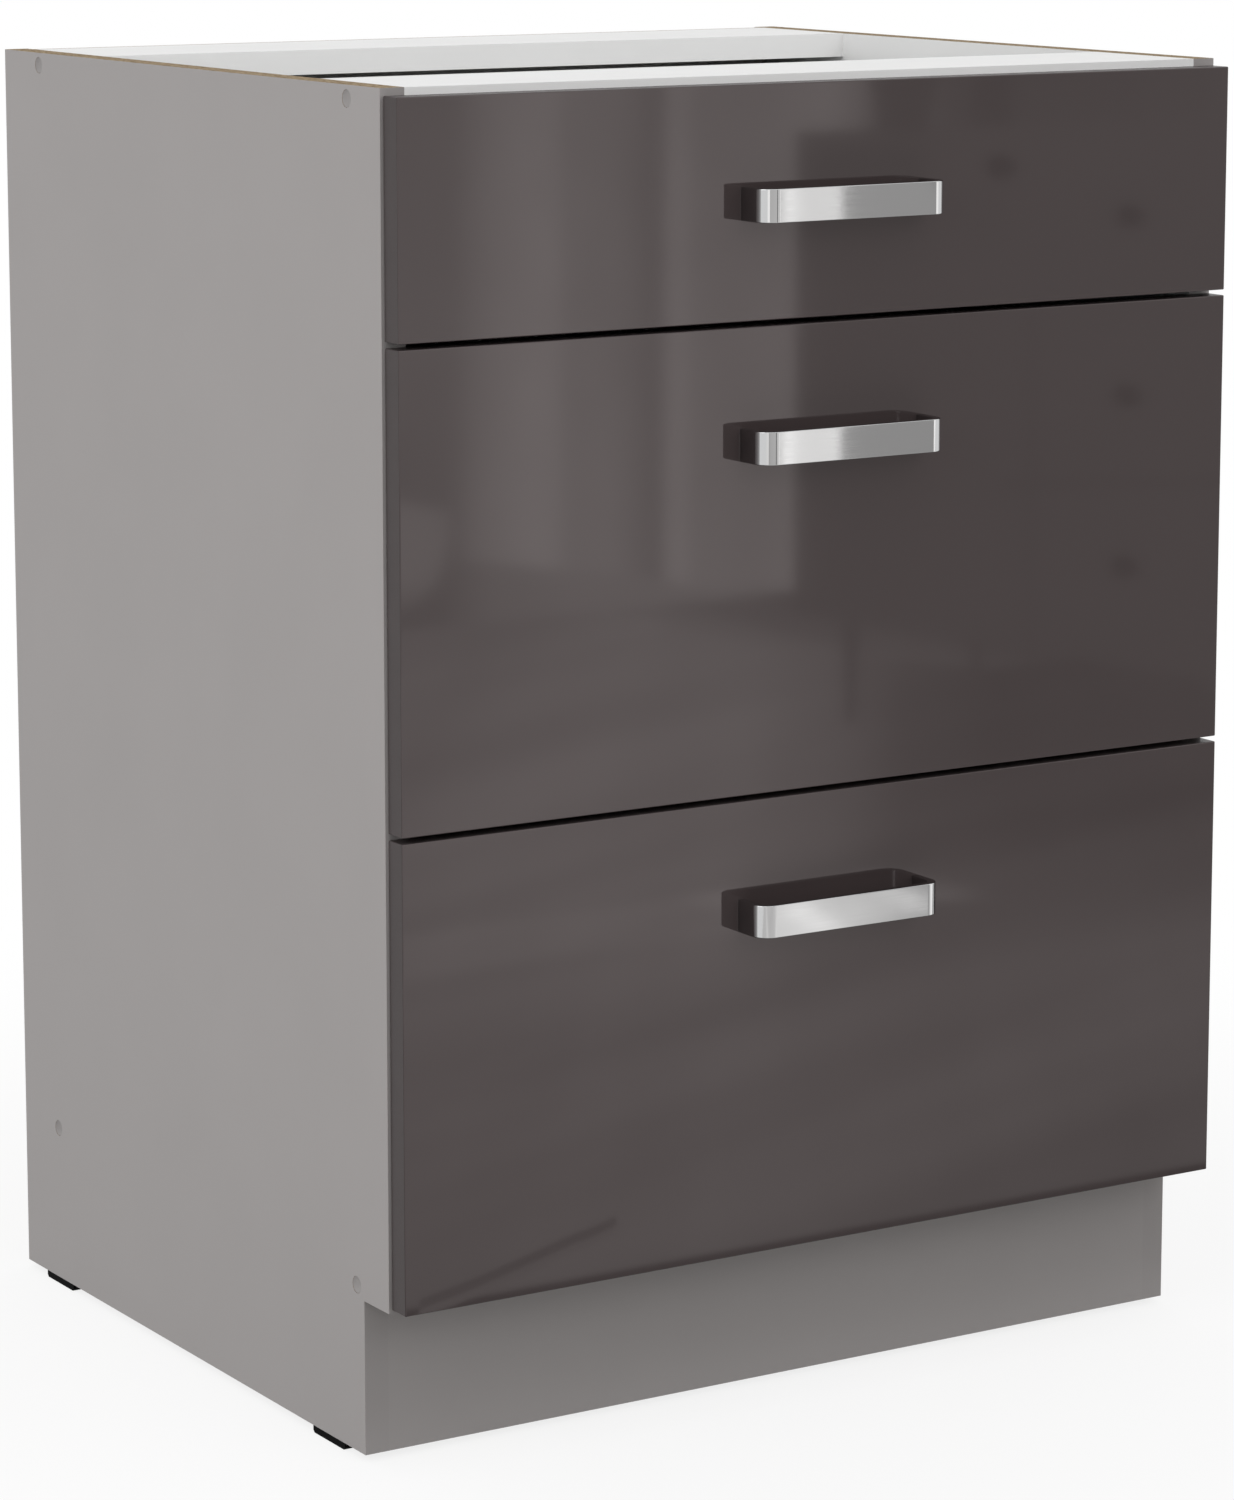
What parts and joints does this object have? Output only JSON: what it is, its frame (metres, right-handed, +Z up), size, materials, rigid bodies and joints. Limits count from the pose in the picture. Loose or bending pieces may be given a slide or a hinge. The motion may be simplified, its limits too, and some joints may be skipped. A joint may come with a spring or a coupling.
{
  "type": "base cabinet with drawers",
  "caption": "Floor-standing kitchen base cabinet, open on top for a worktop, with a shallow drawer over deep drawers, gloss fronts, bar handles and a recessed plinth.",
  "frame": {"origin": "on the floor, below the centre of the whole cabinet's bounding box with the drawers shut", "axes": "+Z up, -Y out of the drawers' fronts (the drawers open along -Y), +X to the right as seen from the front"},
  "size_m": [0.6, 0.543, 0.82],
  "materials": {
    "grey_laminate": "satin melamine-faced chipboard",
    "white_laminate": "satin white melamine-faced chipboard",
    "gloss_front": "high gloss brown-grey facing on chipboard",
    "chrome": "polished chrome",
    "painted_steel": "satin light grey powder coat",
    "zinc_steel": "bright zinc plated steel",
    "nylon": "white nylon",
    "black_plastic": "matt black plastic",
    "screw_cap": "grey cover cap on a steel screw"
  },
  "bodies": {
    "carcass": {"side_panel_left": "grey_laminate", "side_panel_right": "grey_laminate", "bottom_board": "white_laminate", "top_rail_front": "white_laminate", "top_rail_rear": "white_laminate", "back_board": "white_laminate", "plinth_board": "grey_laminate", "foot_front_left": "black_plastic", "foot_front_right": "black_plastic", "foot_rear_left": "black_plastic", "foot_rear_right": "black_plastic", "carcass_screw_top_front_left": "screw_cap", "carcass_screw_top_front_right": "screw_cap", "carcass_screw_top_rear_left": "screw_cap", "carcass_screw_top_rear_right": "screw_cap", "carcass_screw_bottom_front_left": "screw_cap", "carcass_screw_bottom_front_right": "screw_cap", "carcass_screw_bottom_rear_left": "screw_cap", "carcass_screw_bottom_rear_right": "screw_cap", "bottom_runner_left": "zinc_steel", "bottom_runner_right": "zinc_steel", "middle_runner_left": "zinc_steel", "middle_runner_right": "zinc_steel", "top_runner_left": "zinc_steel", "top_runner_right": "zinc_steel"},
    "bottom_drawer": {"bottom_front": "gloss_front", "bottom_handle": "chrome", "bottom_drawer_base": "white_laminate", "bottom_drawer_back": "white_laminate", "bottom_drawer_side_left": "painted_steel", "bottom_drawer_side_right": "painted_steel", "bottom_gallery_rail_left": "painted_steel", "bottom_gallery_rail_right": "painted_steel"},
    "bottom_runner_roller_left": {"bottom_runner_roller_left": "nylon"},
    "bottom_drawer_roller_left": {"bottom_drawer_roller_left": "nylon"},
    "bottom_runner_roller_right": {"bottom_runner_roller_right": "nylon"},
    "bottom_drawer_roller_right": {"bottom_drawer_roller_right": "nylon"},
    "middle_drawer": {"middle_front": "gloss_front", "middle_handle": "chrome", "middle_drawer_base": "white_laminate", "middle_drawer_back": "white_laminate", "middle_drawer_side_left": "painted_steel", "middle_drawer_side_right": "painted_steel", "middle_gallery_rail_left": "painted_steel", "middle_gallery_rail_right": "painted_steel"},
    "middle_runner_roller_left": {"middle_runner_roller_left": "nylon"},
    "middle_drawer_roller_left": {"middle_drawer_roller_left": "nylon"},
    "middle_runner_roller_right": {"middle_runner_roller_right": "nylon"},
    "middle_drawer_roller_right": {"middle_drawer_roller_right": "nylon"},
    "top_drawer": {"top_front": "gloss_front", "top_handle": "chrome", "top_drawer_base": "white_laminate", "top_drawer_back": "white_laminate", "top_drawer_side_left": "painted_steel", "top_drawer_side_right": "painted_steel"},
    "top_runner_roller_left": {"top_runner_roller_left": "nylon"},
    "top_drawer_roller_left": {"top_drawer_roller_left": "nylon"},
    "top_runner_roller_right": {"top_runner_roller_right": "nylon"},
    "top_drawer_roller_right": {"top_drawer_roller_right": "nylon"}
  },
  "joints": [
    {"name": "bottom_drawer_slide", "type": "slide", "parent": "carcass", "child": "bottom_drawer", "axis": [0, -1, 0], "range_m": [0, 0.345]},
    {"name": "bottom_runner_roller_left_spin", "type": "hinge", "parent": "carcass", "child": "bottom_runner_roller_left", "pos_m": [-0.27805, -0.2095, 0.1318], "axis": [1, 0, 0], "continuous": true},
    {"name": "bottom_drawer_roller_left_spin", "type": "hinge", "parent": "bottom_drawer", "child": "bottom_drawer_roller_left", "pos_m": [-0.27805, 0.2085, 0.1313], "axis": [1, 0, 0], "continuous": true},
    {"name": "bottom_runner_roller_right_spin", "type": "hinge", "parent": "carcass", "child": "bottom_runner_roller_right", "pos_m": [0.27805, -0.2095, 0.1318], "axis": [1, 0, 0], "continuous": true},
    {"name": "bottom_drawer_roller_right_spin", "type": "hinge", "parent": "bottom_drawer", "child": "bottom_drawer_roller_right", "pos_m": [0.27805, 0.2085, 0.1313], "axis": [1, 0, 0], "continuous": true},
    {"name": "middle_drawer_slide", "type": "slide", "parent": "carcass", "child": "middle_drawer", "axis": [0, -1, 0], "range_m": [0, 0.345]},
    {"name": "middle_runner_roller_left_spin", "type": "hinge", "parent": "carcass", "child": "middle_runner_roller_left", "pos_m": [-0.27805, -0.2095, 0.4183], "axis": [1, 0, 0], "continuous": true},
    {"name": "middle_drawer_roller_left_spin", "type": "hinge", "parent": "middle_drawer", "child": "middle_drawer_roller_left", "pos_m": [-0.27805, 0.2085, 0.4178], "axis": [1, 0, 0], "continuous": true},
    {"name": "middle_runner_roller_right_spin", "type": "hinge", "parent": "carcass", "child": "middle_runner_roller_right", "pos_m": [0.27805, -0.2095, 0.4183], "axis": [1, 0, 0], "continuous": true},
    {"name": "middle_drawer_roller_right_spin", "type": "hinge", "parent": "middle_drawer", "child": "middle_drawer_roller_right", "pos_m": [0.27805, 0.2085, 0.4178], "axis": [1, 0, 0], "continuous": true},
    {"name": "top_drawer_slide", "type": "slide", "parent": "carcass", "child": "top_drawer", "axis": [0, -1, 0], "range_m": [0, 0.345]},
    {"name": "top_runner_roller_left_spin", "type": "hinge", "parent": "carcass", "child": "top_runner_roller_left", "pos_m": [-0.27805, -0.2095, 0.7048], "axis": [1, 0, 0], "continuous": true},
    {"name": "top_drawer_roller_left_spin", "type": "hinge", "parent": "top_drawer", "child": "top_drawer_roller_left", "pos_m": [-0.27805, 0.2085, 0.7043], "axis": [1, 0, 0], "continuous": true},
    {"name": "top_runner_roller_right_spin", "type": "hinge", "parent": "carcass", "child": "top_runner_roller_right", "pos_m": [0.27805, -0.2095, 0.7048], "axis": [1, 0, 0], "continuous": true},
    {"name": "top_drawer_roller_right_spin", "type": "hinge", "parent": "top_drawer", "child": "top_drawer_roller_right", "pos_m": [0.27805, 0.2085, 0.7043], "axis": [1, 0, 0], "continuous": true}
  ],
  "couplings": [
    {"joint": "bottom_runner_roller_left_spin", "follows": "bottom_drawer_slide", "rad_per_m": 111.11},
    {"joint": "bottom_drawer_roller_left_spin", "follows": "bottom_drawer_slide", "rad_per_m": 111.11},
    {"joint": "bottom_runner_roller_right_spin", "follows": "bottom_drawer_slide", "rad_per_m": 111.11},
    {"joint": "bottom_drawer_roller_right_spin", "follows": "bottom_drawer_slide", "rad_per_m": 111.11},
    {"joint": "middle_runner_roller_left_spin", "follows": "middle_drawer_slide", "rad_per_m": 111.11},
    {"joint": "middle_drawer_roller_left_spin", "follows": "middle_drawer_slide", "rad_per_m": 111.11},
    {"joint": "middle_runner_roller_right_spin", "follows": "middle_drawer_slide", "rad_per_m": 111.11},
    {"joint": "middle_drawer_roller_right_spin", "follows": "middle_drawer_slide", "rad_per_m": 111.11},
    {"joint": "top_runner_roller_left_spin", "follows": "top_drawer_slide", "rad_per_m": 111.11},
    {"joint": "top_drawer_roller_left_spin", "follows": "top_drawer_slide", "rad_per_m": 111.11},
    {"joint": "top_runner_roller_right_spin", "follows": "top_drawer_slide", "rad_per_m": 111.11},
    {"joint": "top_drawer_roller_right_spin", "follows": "top_drawer_slide", "rad_per_m": 111.11}
  ]
}
